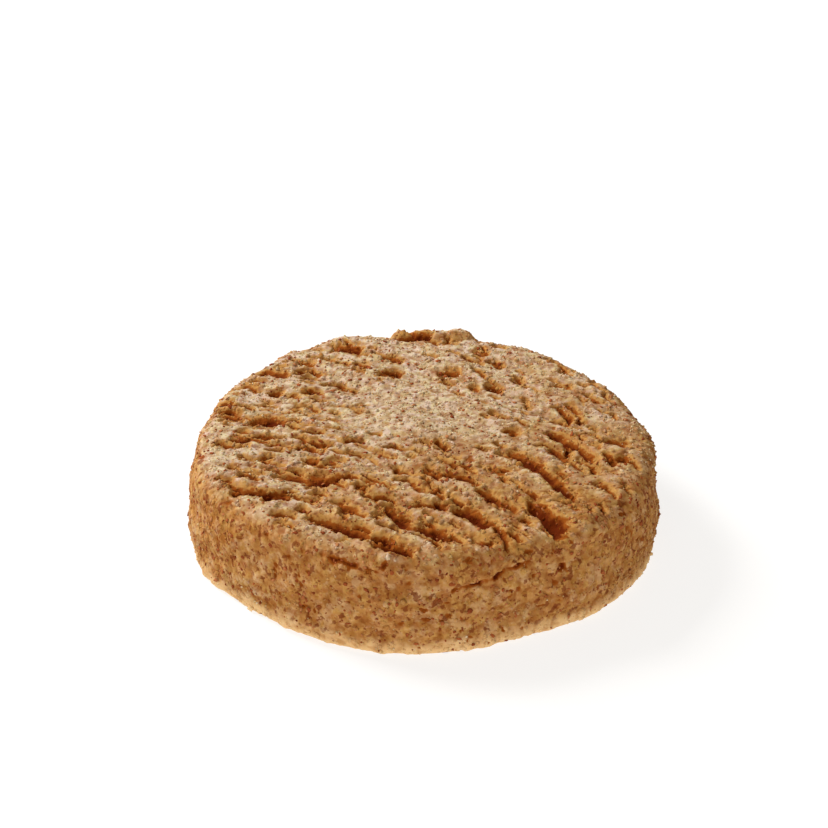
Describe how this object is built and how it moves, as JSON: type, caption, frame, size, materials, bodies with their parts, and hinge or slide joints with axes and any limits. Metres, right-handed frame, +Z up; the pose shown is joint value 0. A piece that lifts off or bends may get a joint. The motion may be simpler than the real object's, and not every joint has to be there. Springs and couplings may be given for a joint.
{
  "type": "millet cookie",
  "caption": "Thick round wholegrain cookie with a wire-torn, ragged top, a rounded shoulder, a gently swollen side and a flat underside; lies on its base.",
  "frame": {"origin": "middle of the flat underside, at the middle of the outline's box", "axes": "+Z up out of the torn top face; the cutting wire was dragged along +X, and the picture looks along +Y"},
  "size_m": [0.0585, 0.0581, 0.0134],
  "materials": {
    "baked_crumb": "matte"
  },
  "bodies": {
    "root": {"cookie": "baked_crumb"}
  },
  "joints": []
}
